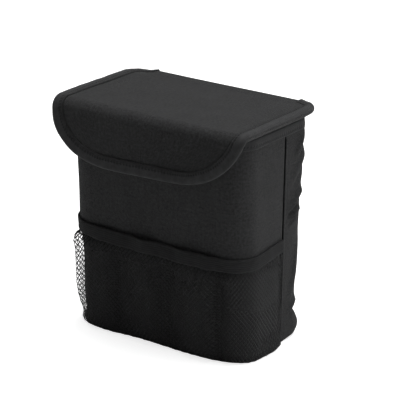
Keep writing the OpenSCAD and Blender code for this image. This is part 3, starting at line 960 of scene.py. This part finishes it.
# the tape's own map runs across in real millimetres from its inner edge
layer = tapeGrid.loops.layers.uv["clothMap"]
for face in tapeGrid.faces:
    for loop in face.loops:
        inset, depth = alongSteps(tapeSteps, loop[layer].uv.y * mapSize / tapeMapWide)
        loop[layer].uv.y = (inset if depth < 1.6 else 20 - inset) / mapSize
# as laid, its faces look inwards, so its thickness is added on the outside
finished(tapeGrid, "lidTape", "lidTape", "lid", ["lid_edge_tape"], 0.4, even=True)


def zOfRun(run):
    # height of the outer face past the flat top, in the lid's own axes
    if run > flatRun + bendRun:
        return bendLow - (run - flatRun - bendRun)
    return bendLow + lidForm["bend"] * math.cos((run - flatRun) / lidForm["bend"])


def halfWidthAt(run, inset):
    # half of the lid's width there, this far in from its outline
    f = lidForm
    rear = f["rearRadius"] - inset
    width = f["halfWidth"] - inset
    back = run + f["cornerBack"] - inset
    if back < rear:
        return width - rear + math.sqrt(max(0.0, rear * rear - (rear - back) ** 2))
    if run <= flatRun or zOfRun(run) - f["lipLow"] >= f["lipRadius"]:
        return width
    radius = f["lipRadius"] - inset
    drop = f["lipRadius"] - (zOfRun(run) - f["lipLow"])
    return min(width, f["lipCorner"] + math.sqrt(max(0.0, radius * radius - drop * drop)))


coverIn = 5.0  # how far the outer cloth and the lining end under the tape


def coverPlace(u, v):
    run = v * (lidRun - coverIn)
    x = (2 * u - 1) * halfWidthAt(run, coverIn)
    # the cloth is drawn down where the tape's seam holds it
    width = tapeLook["width"]
    edge = min((halfWidthAt(run, width) - abs(x)) if run < lidRun - width else -1,
               lidRun - width - run)
    drawn = -1.4 * (1 - smooth((edge + 0.3) / 1.7))
    return lidPoint(x, run, -(lidWave(x, run) + drawn + 0.3))


lidCloth = clothPiece("lidCloth", "lidCloth", 150, 140, coverPlace, (162, 146), 0.7, "lid",
                      ["lid_panel"], centre=insideLid)


def underPlace(u, v):
    run = 4.0 + v * (lidRun - 4.0 - coverIn)
    x = (2 * u - 1) * halfWidthAt(run, coverIn)
    # it bridges the inside of the bend, clear of the board and the pressed-in cloth
    bridge = 0.9 * bump(run - flatRun - bendRun / 2, 15)
    return lidPoint(x, run, 3.0 + bridge + 0.12 * ripple(x / 20, run / 20, 4.0))


lidLining = clothPiece("lidLining", "lining", 90, 90, underPlace, (162, 142), 0.5, "lid",
                       ["lid_lining"], centre=insideLid, inward=True)


def boardPlace(u, v):
    run = 7.0 + v * (lidRun - 19.0)
    x = (2 * u - 1) * (halfWidthAt(run, 6.0) - 6.0)
    return lidPoint(x, run, 1.0)


clothPiece("lidBoard", "board", 60, 60, boardPlace, (158, 140), 1.4, "lid",
           ["lid_board"], centre=insideLid)


def hemPlace(u, v):
    # the rolled hem along the hinge line: top, round the back and under
    x = (2 * u - 1) * (lidForm["hingeHalf"] + 2.4)
    swell = 0.12 * ripple(x / 9, v * 3, 7.7)
    radius = 1.65 + swell
    if v < 0.3:
        y, z = -7.0 * (1 - v / 0.3), radius + 0.25 - 0.3 * bump(v - 0.12, 0.03)
    elif v < 0.7:
        turn = math.pi * (v - 0.3) / 0.4
        y, z = radius * math.sin(turn), radius * math.cos(turn) + 0.25 * math.cos(turn / 2)
    else:
        y, z = -5.5 * (v - 0.7) / 0.3, -radius
    return fromLid(*(Vector((x, y, z)) + lidDrape(x, 0)))


clothPiece("lidHem", "lidCloth", 100, 30, hemPlace, (129, 17), 0.35, "lid",
           centre=tuple(fromLid(0, -4, 0)))
lidCount = 190
lidRow = [onTape(i / lidCount, tapeLook["stitchIn"]) for i in range(lidCount + 1)]
lidLine = [lidPoint(p.x, p.y, -0.78 - lidWave(p.x, p.y) * 0.7) for p in lidRow]
lidUps = [(lidPoint(p.x, p.y, -2) - lidPoint(p.x, p.y, 0)).normalized() for p in lidRow]
stitchRow("lidStitches", lidLine, lidUps, 1.7, 0.4, "lid")
hemCount = 49
hemRow = [lidPoint(-62 + i * stitchPitch, 4.2, -0.45) for i in range(hemCount)]
stitchRow("hemStitches", hemRow, [Vector((0, 0, 1))] * hemCount, 1.9, 0.4, "lid")
print("lid covered and bound")


# hinge strip

hingeLook = {"low": 152.6, "high": 164.0, "half": 63.4}


def hingePlace(u, v):
    x = (2 * u - 1) * hingeLook["half"]
    wave = 0.2 * ripple(x / 10, v * 4, 3.0)
    # up the wall, then free, and back to the hinge line
    low, high, wallY = hingeLook["low"], hingeLook["high"], binForm["rearFoot"] + 1.9
    levels = [low + (high - low) * i / 3 for i in range(4)]
    steps = [(wallY + z * binForm["lean"], z) for z in levels]
    steps += [(50.3, 168.4), (52.0, 172.6), (53.0, 175.6), (53.6, 177.6)]
    y, z = alongSteps(steps, v)
    return Vector((x, y + wave, z))


hingeGrid = clothGrid(90, 21, hingePlace, (127, 26))
faceOut(hingeGrid, Vector((0, 0, 0.165)))
hingeCloth = toObject(hingeGrid, "hingeCloth", "binCloth", 0.8)
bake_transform(hingeCloth)
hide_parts("hinge_strip")
hingeCount = 48
hingeRow = []
for i in range(hingeCount):
    x = i * stitchPitch - 61
    hingeRow.append(hingePlace((x / hingeLook["half"] + 1) / 2, 0.20) + Vector((0, 0.1, 0)))
stitchRow("hingeStitches", hingeRow, [Vector((0, 1, 0))] * hingeCount, 1.9, 0.4, "bin")
print("hinge strip sewn")


# strap on the back and touch tapes

strapLook = {"middle": 128.0, "width": 25.0, "thick": 1.3, "end": 58.0, "lap": 31.0,
             "touch": 0.8, "ramp": 5.0}


def strapOut(x, layer):
    # how far a layer's outer face stands off the wall
    f = strapLook
    base = max(rearWave(x, f["middle"]), 0.2) + 0.1
    if layer == "under":
        return base + f["thick"]
    on = smooth((x + f["lap"] + f["ramp"]) / f["ramp"])
    return base + f["thick"] + on * (f["thick"] + 2 * f["touch"])


def strapPlace(layer, low, high):
    def place(u, v):
        x = low + (high - low) * u
        z = strapLook["middle"] + (v - 0.5) * strapLook["width"]
        edge = 0.3 * (2 * v - 1) ** 16
        return wallPoint(False, x, z, strapOut(x, layer) - edge)
    return place


insideStrap = (0, 0, strapLook["middle"])
lap, end, thick = strapLook["lap"], strapLook["end"], strapLook["thick"]
strapUnder = clothPiece("strapUnder", "webbing", 60, 16, strapPlace("under", -lap, end), (89, 25),
                        thick, "bin", ["strap_under"], centre=insideStrap)
strapOver = clothPiece("strapOver", "webbing", 70, 16, strapPlace("over", -end, lap), (89, 25),
                       thick, "bin", ["strap_over"], centre=insideStrap)


def touchPlace(extra):
    def place(u, v):
        x = -30.5 + 61 * u
        z = strapLook["middle"] + (v - 0.5) * 22
        return wallPoint(False, x, z, strapOut(x, "under") + extra
                         + 0.06 * ripple(x * 1.7, z * 1.7, extra))
    return place


clothPiece("strapLoop", "pile", 60, 22, touchPlace(strapLook["touch"]), (61, 22), 0.7, "bin",
           ["strap_loop_tape"], centre=insideStrap)
clothPiece("strapHook", "hooks", 60, 22, touchPlace(1.55), (61, 22), 0.65, "bin",
           ["strap_hook_tape"], centre=insideStrap)


def boxStitch(name, middle, layer):
    # a square with a cross in it, where the webbing is sewn to the wall
    z0, r = strapLook["middle"], 8.5
    corners = [(-r, -r), (r, -r), (r, r), (-r, r), (-r, -r), (r, r), (r, -r), (-r, r)]
    line = []
    for (ax, az), (bx, bz) in zip(corners[:-1], corners[1:]):
        steps = max(1, round(math.hypot(bx - ax, bz - az) / 2.4))
        line += [(middle + ax + (bx - ax) * i / steps, z0 + az + (bz - az) * i / steps)
                 for i in range(steps)]
    points = [wallPoint(False, x, z, strapOut(x, layer) + 0.1) for x, z in line]
    ups = [Vector((0, 1, 0))] * len(points)
    return stitchRow(name, points, ups, 1.9, 0.6, "bin", "strapThread")


boxStitch("strapStitchesLeft", 47.5, "under")
boxStitch("strapStitchesRight", -47.5, "over")

patchLook = {"width": 40.0, "height": 16.0, "wallZ": 160.8, "lipRun": 130.2,
             "loopThick": 2.0, "hookThick": 0.9, "corner": 3.0, "hookColumns": 25,
             "hookRows": 10}


def softCorner(u, v):
    # pulls a square patch in to rounded corners, and gives the way to its edge
    wide, high, r = patchLook["width"] / 2, patchLook["height"] / 2, patchLook["corner"]
    x, z = (2 * u - 1) * wide, (2 * v - 1) * high
    cx, cz = max(0.0, abs(x) - (wide - r)), max(0.0, abs(z) - (high - r))
    far = math.hypot(cx, cz)
    if far > r:
        x -= math.copysign(cx * (1 - r / far), x)
        z -= math.copysign(cz * (1 - r / far), z)
    return x, z, min(wide - abs(x), high - abs(z))


def loopPlace(u, v):
    x, z, edge = softCorner(u, v)
    fluff = 0.28 * ripple(x * 1.9, z * 1.9, 2.0) + 0.2 * ripple(x * 4, z * 4, 7.0)
    rise = (patchLook["loopThick"] + fluff) * (0.55 + 0.45 * smooth(edge / 1.2))
    return wallPoint(True, x, patchLook["wallZ"] + z, frontWave(x, 160) + rise)


def hookPlace(u, v):
    x, z, edge = softCorner(u, v)
    rise = patchLook["hookThick"] * (0.6 + 0.4 * smooth(edge / 0.8))
    return lidPoint(x, patchLook["lipRun"] + z, 3.0 + rise)


clothPiece("closureLoop", "pile", 60, 26, loopPlace, (40, 16), 1.4, "bin",
           ["closure_loop_patch"], centre=(0, 0, 160))
clothPiece("closureHook", "hooks", 54, 22, hookPlace, (40, 16), 0.8, "lid",
           ["closure_hook_patch"], centre=(0, 0, 160), inward=True)


def hookField():
    # rows of small slanted hooks on the lip's patch
    bm = bmesh.new()
    columns, rows = patchLook["hookColumns"], patchLook["hookRows"]
    for i in range(columns):
        for j in range(rows):
            x, z, _ = softCorner((i + 0.5) / columns, (j + 0.5) / rows)
            foot = lidPoint(x, patchLook["lipRun"] + z, 3.85)
            tip = lidPoint(x + 0.35, patchLook["lipRun"] + z, 4.55)
            way = (tip - foot).normalized()
            turned = way.to_track_quat("Z", "Y").to_matrix().to_4x4()
            bmesh.ops.create_cone(bm, cap_ends=True, segments=5, radius1=0.2 * mm,
                                  radius2=0.12 * mm, depth=(tip - foot).length * mm,
                                  matrix=Matrix.Translation((foot + tip) / 2 * mm) @ turned)
    return closedPiece(bm, "closureHooks", "hooks", "lid")


hookField()
print("straps and touch tapes fitted")

# the base board and the padding keep their CAD shape
for name, material in (("base_board", "board"), ("rear_padding", "foam")):
    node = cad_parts[name]
    node.data.materials.clear()
    node.data.materials.append(stuff[material])


# floor, lights and camera

studio = {
    "world": 0.10, "top": 16.6, "right": 4.5, "front": 1.15,
    "floorColour": (0.82, 0.82, 0.82),
}


def makeFloor():
    material, tree = newMaterial("paleFloor", 0.9, specular=0.1)
    shader = tree.nodes["Principled BSDF"]
    shader.inputs["Base Color"].default_value = (*studio["floorColour"], 1)
    shader.inputs["Emission Color"].default_value = (1, 1, 1, 1)
    path = addNode(tree, "LightPath")
    lifted = calc(tree, "MULTIPLY", path.outputs["Is Camera Ray"], 0.75)
    tree.links.new(lifted, shader.inputs["Emission Strength"])
    stuff["floor"] = material
    bm = bmesh.new()
    bmesh.ops.create_grid(bm, x_segments=1, y_segments=1, size=4.0)
    floor = toObject(bm, "floor", "floor")
    floor.location = (0, 0, -0.0002)


def makeWorld():
    world = bpy.data.worlds.new("studio")
    bpy.context.scene.world = world
    world.use_nodes = True
    tree = world.node_tree
    background = tree.nodes["Background"]
    background.inputs["Color"].default_value = (1, 1, 1, 1)
    path = addNode(tree, "LightPath")
    strength = calc(tree, "MULTIPLY_ADD", path.outputs["Is Camera Ray"],
                    1.0 - studio["world"], studio["world"])
    tree.links.new(strength, background.inputs["Strength"])


def softLamp(name, place, target, size, power):
    data = bpy.data.lights.new(name, "AREA")
    data.energy, data.size = power, size
    lamp = newObject(name, data)
    lamp.location = place
    lamp.rotation_mode = "QUATERNION"
    lamp.rotation_quaternion = (Vector(target) - Vector(place)).to_track_quat("-Z", "Y")


cameraLook = {"azimuth": 32.2, "elevation": 22.3, "roll": 0.9, "distance": 1.4312,
              "target": (0.0185, 0.0, 0.1023), "lens": 164.42}


def makeCamera():
    a, e = math.radians(cameraLook["azimuth"]), math.radians(cameraLook["elevation"])
    back = Vector((math.sin(a) * math.cos(e), -math.cos(a) * math.cos(e), math.sin(e)))
    data = bpy.data.cameras.new("camera")
    data.lens, data.sensor_width = cameraLook["lens"], 36.0
    camera = newObject("camera", data)
    camera.rotation_mode = "QUATERNION"
    roll = Quaternion((0, 0, 1), math.radians(cameraLook["roll"]))
    camera.rotation_quaternion = (-back).to_track_quat("-Z", "Y") @ roll
    camera.location = Vector(cameraLook["target"]) + back * cameraLook["distance"]
    bpy.context.scene.camera = camera


makeFloor()
makeWorld()
softLamp("topLamp", (0.09, 0.22, 1.3), (0, 0, 0.1), 1.1, studio["top"])
softLamp("rightLamp", (1.3, 0.25, 0.55), (0, 0, 0.1), 0.8, studio["right"])
softLamp("frontLamp", (-1.0, -1.2, 0.5), (0, 0, 0.1), 1.0, studio["front"])
makeCamera()
bpy.context.scene.view_settings.view_transform = "Standard"
print("studio lit")
